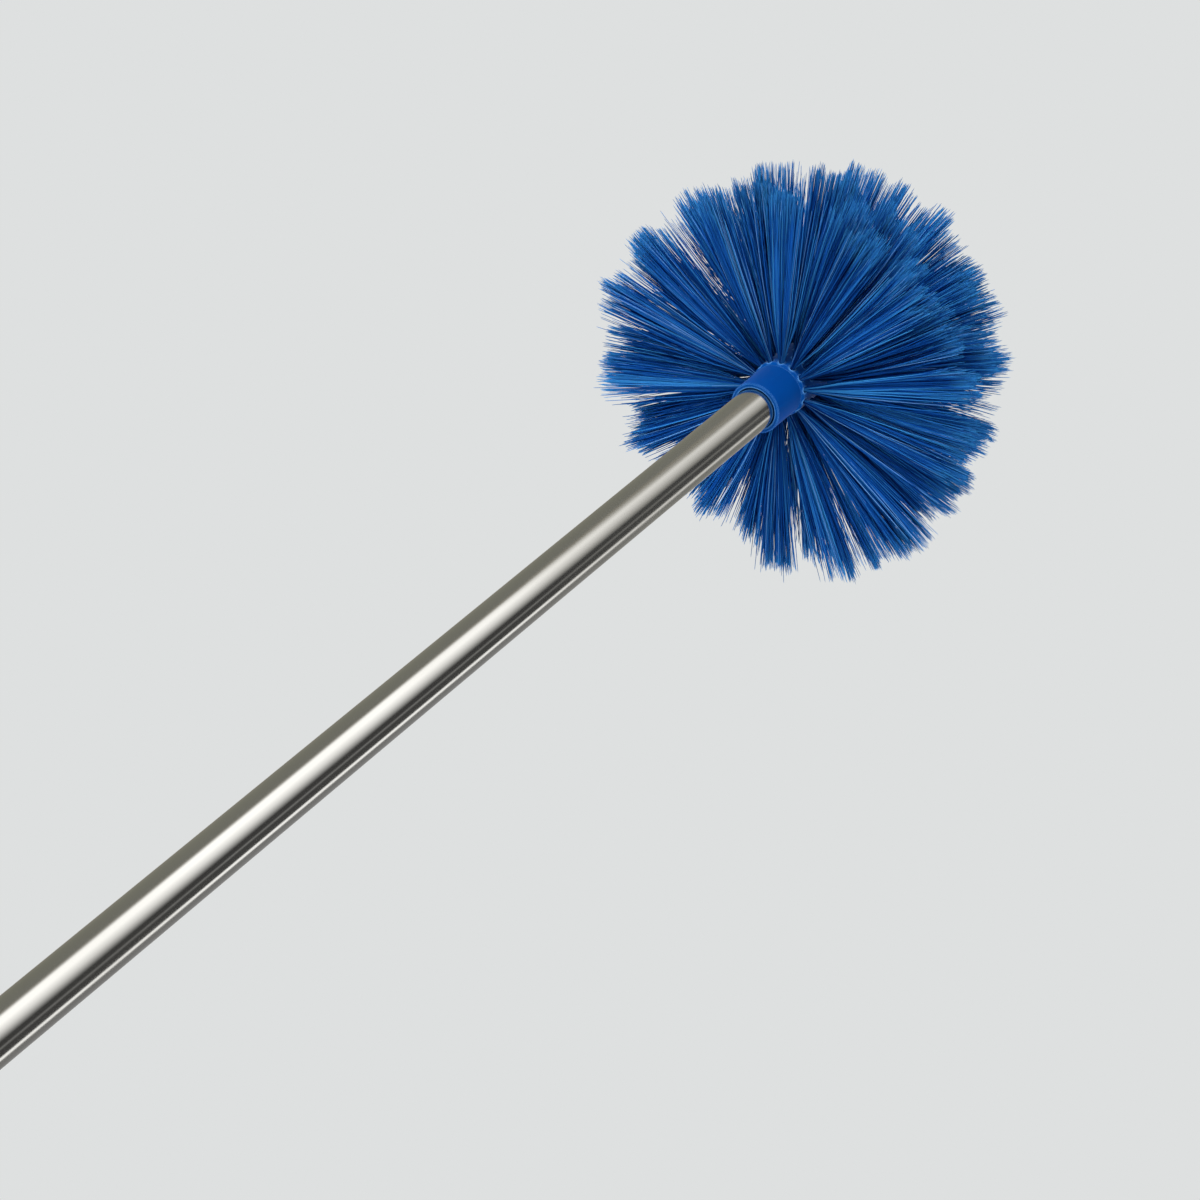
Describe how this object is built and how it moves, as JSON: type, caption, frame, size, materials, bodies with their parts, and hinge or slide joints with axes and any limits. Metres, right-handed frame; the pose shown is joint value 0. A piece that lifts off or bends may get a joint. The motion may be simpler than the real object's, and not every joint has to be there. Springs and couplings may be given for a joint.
{
  "type": "cobweb brush",
  "caption": "Cobweb brush: a ball of stiff bristle tufts on a small hub, screwed to a two-section telescopic steel pole with a twist lock, grip and hanging eye.",
  "frame": {"origin": "on the pole's axis, at the middle of the grip", "axes": "+Z along the pole towards the brush head; +X along the face of the hanging eye; +Y through the hanging eye"},
  "size_m": [0.194, 0.194, 1.5274],
  "materials": {
    "hub_plastic": "satin",
    "bristles": "satin",
    "anchor_wire": "satin",
    "tube_steel": "polished",
    "inner_plastic": "matte",
    "lock_plastic": "satin",
    "grip_plastic": "matte"
  },
  "bodies": {
    "lower_pole": {"lower_tube": "tube_steel", "lock_body": "lock_plastic", "grip": "grip_plastic", "end_cap": "lock_plastic"},
    "upper_pole": {"upper_tube": "tube_steel", "threaded_tip": "inner_plastic", "guide_bush": "inner_plastic"},
    "clamp_ring": {"clamp_ring": "inner_plastic"},
    "lock_nut": {"lock_nut": "lock_plastic"},
    "brush_head": {"brush_hub": "hub_plastic", "tuft_row_1": "bristles", "tuft_row_2": "bristles", "tuft_row_3": "bristles", "tuft_row_4": "bristles", "tuft_row_5": "bristles", "tuft_row_6": "bristles", "tuft_anchors": "anchor_wire"}
  },
  "joints": [
    {"name": "pole_extend", "type": "slide", "parent": "lower_pole", "child": "upper_pole", "axis": [0, 0, 1], "range_m": [-0.585, 0.07]},
    {"name": "ring_rise", "type": "slide", "parent": "lower_pole", "child": "clamp_ring", "axis": [0, 0, 1], "range_m": [0, 0.0015]},
    {"name": "nut_turn", "type": "hinge", "parent": "clamp_ring", "child": "lock_nut", "pos_m": [0, 0, 0.685], "axis": [0, 0, 1], "range_deg": [0, 180]},
    {"name": "head_release", "type": "slide", "parent": "upper_pole", "child": "brush_head", "axis": [0, 0, 1], "range_m": [0, 0.06]}
  ],
  "couplings": [
    {"joint": "ring_rise", "follows": "nut_turn", "m_per_rad": 0.00047746}
  ]
}
